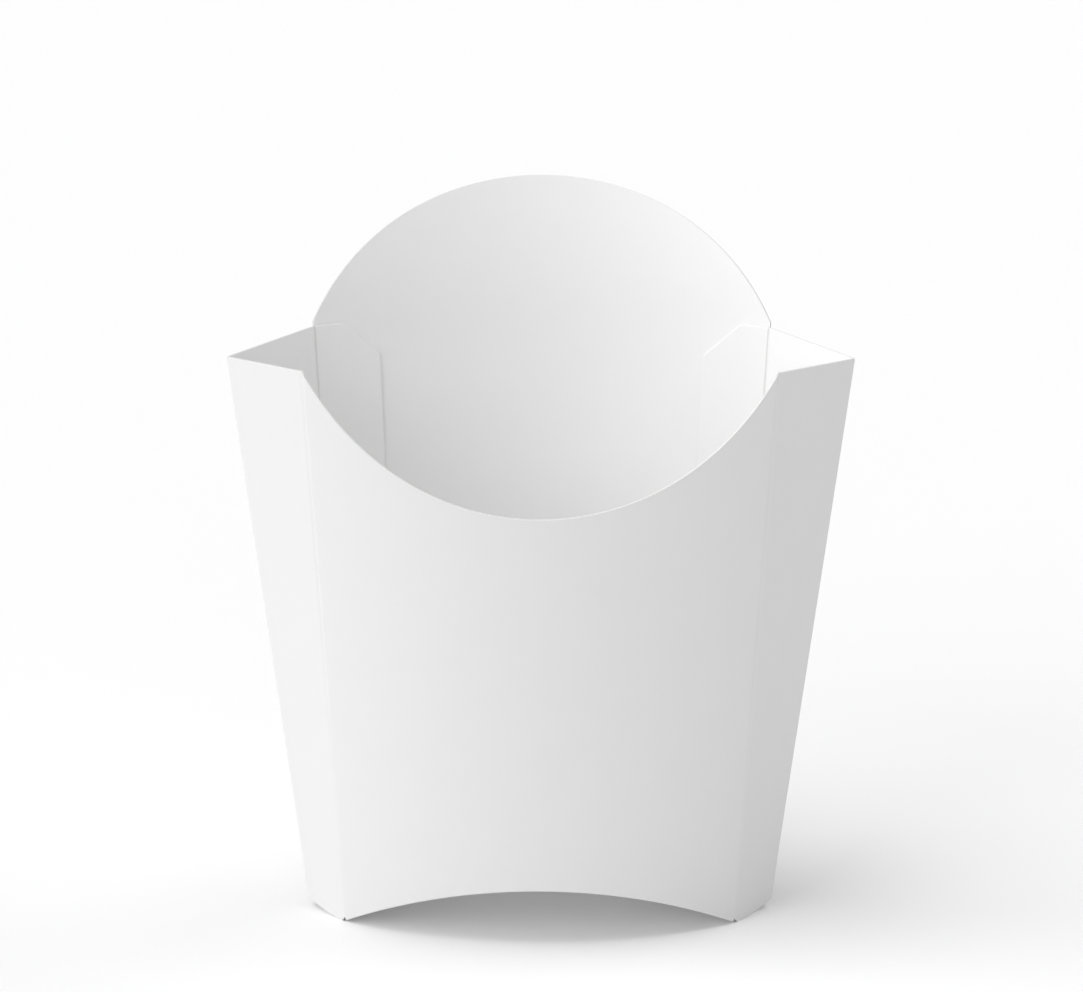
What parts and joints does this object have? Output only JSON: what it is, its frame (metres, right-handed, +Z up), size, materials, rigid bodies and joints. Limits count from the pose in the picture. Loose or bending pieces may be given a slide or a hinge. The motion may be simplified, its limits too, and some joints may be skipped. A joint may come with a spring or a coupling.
{
  "type": "french fry carton",
  "caption": "Empty white paperboard scoop carton for french fries: bowed front with a concave rim, folded side gussets and a tall arched back.",
  "frame": {"origin": "on the surface that the carton stands on, under the middle of its box", "axes": "+X across the carton from one side fold to the other, +Y from the scooped front to the tall back, +Z up"},
  "size_m": [0.12, 0.0698, 0.1392],
  "materials": {
    "board": "bright white coated folding boxboard, smooth with a soft low sheen, raw cut edges"
  },
  "bodies": {
    "root": {"carton": "board"}
  },
  "joints": []
}
